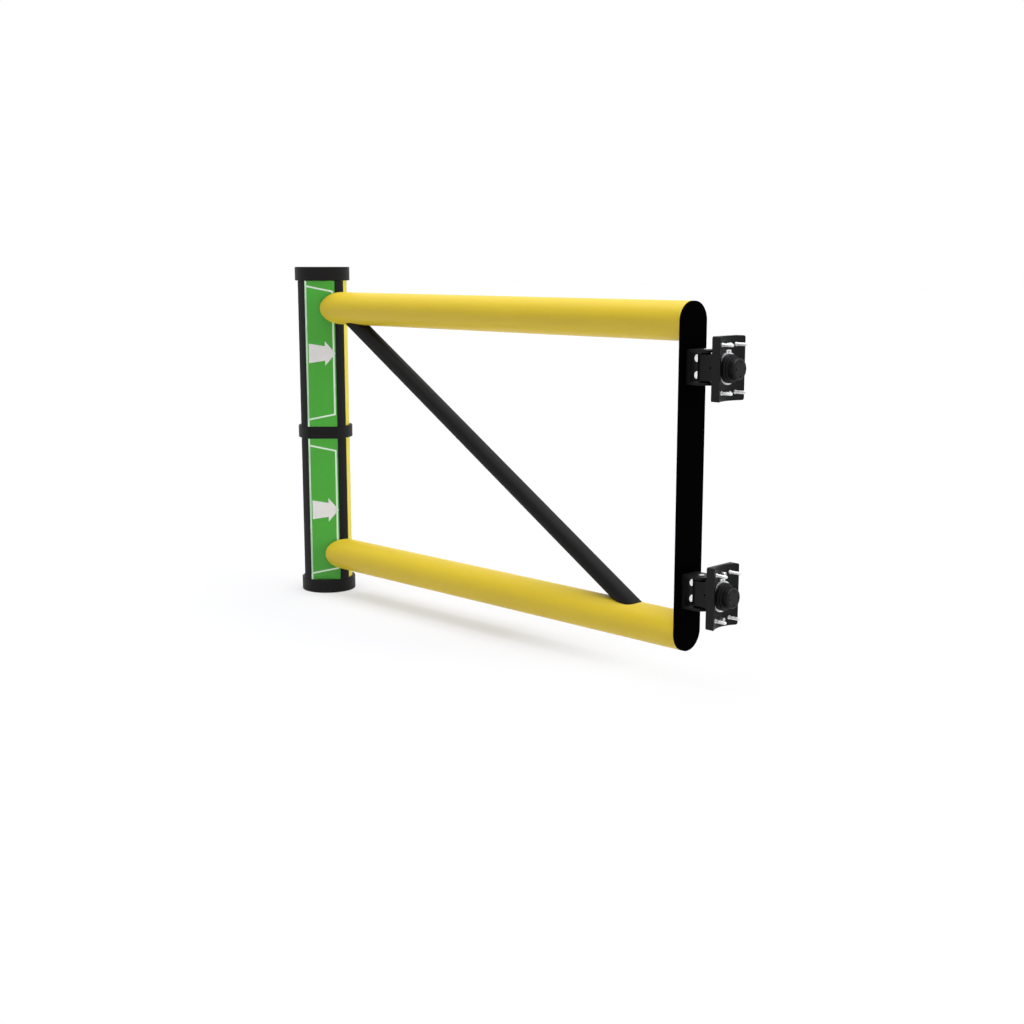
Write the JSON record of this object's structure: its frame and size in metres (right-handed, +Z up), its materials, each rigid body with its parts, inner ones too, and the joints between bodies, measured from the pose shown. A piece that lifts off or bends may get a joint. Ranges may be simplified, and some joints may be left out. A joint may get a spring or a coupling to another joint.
{
  "type": "safety railing swing gate",
  "caption": "Round-rail swing gate leaf with a diagonal brace, stepped hinge sets for a round post, and a closing post with a green direction sign.",
  "frame": {"origin": "centre of the closing post's foot, on the ground", "axes": "+Z up, +X from the closing post to the hinge side, leaf opens towards -Y"},
  "size_m": [2.1475, 0.215, 1.3],
  "materials": {
    "yellow_polymer": "satin",
    "black_polymer": "satin",
    "black_plate": "matt",
    "black_steel": "powder coated",
    "bright_steel": "zinc plated",
    "sign_green": "printed",
    "sign_white": "printed"
  },
  "bodies": {
    "post_and_hinge_mounts": {"post_tube": "yellow_polymer", "post_base_cap": "black_polymer", "post_middle_ring": "black_polymer", "post_top_cap": "black_polymer", "sign_panel_lower": "sign_green", "sign_strip_lower_left": "black_polymer", "sign_strip_lower_right": "black_polymer", "sign_panel_upper": "sign_green", "sign_strip_upper_left": "black_polymer", "sign_strip_upper_right": "black_polymer", "lower_hinge_knuckle": "black_steel", "lower_hinge_pin": "bright_steel", "lower_hinge_washers": "black_polymer", "lower_hinge_saddle": "black_steel", "lower_hinge_ring": "bright_steel", "lower_hinge_spigot": "black_polymer", "lower_hinge_studs": "bright_steel", "lower_hinge_pegs": "bright_steel", "upper_hinge_knuckle": "black_steel", "upper_hinge_pin": "bright_steel", "upper_hinge_washers": "black_polymer", "upper_hinge_saddle": "black_steel", "upper_hinge_ring": "bright_steel", "upper_hinge_spigot": "black_polymer", "upper_hinge_studs": "bright_steel", "upper_hinge_pegs": "bright_steel"},
    "leaf": {"leaf_bottom_rail": "yellow_polymer", "leaf_bottom_rail_end_cap": "yellow_polymer", "leaf_top_rail": "yellow_polymer", "leaf_top_rail_end_cap": "yellow_polymer", "leaf_diagonal_brace": "black_polymer", "leaf_end_plate": "black_plate", "lower_hinge_bracket": "black_steel", "lower_hinge_bracket_bolts": "bright_steel", "upper_hinge_bracket": "black_steel", "upper_hinge_bracket_bolts": "bright_steel"}
  },
  "joints": [
    {"name": "leaf_swing", "type": "hinge", "parent": "post_and_hinge_mounts", "child": "leaf", "pos_m": [1.91139, -0.006, 0.65], "axis": [0, 0, 1], "range_deg": [0, 90]}
  ]
}
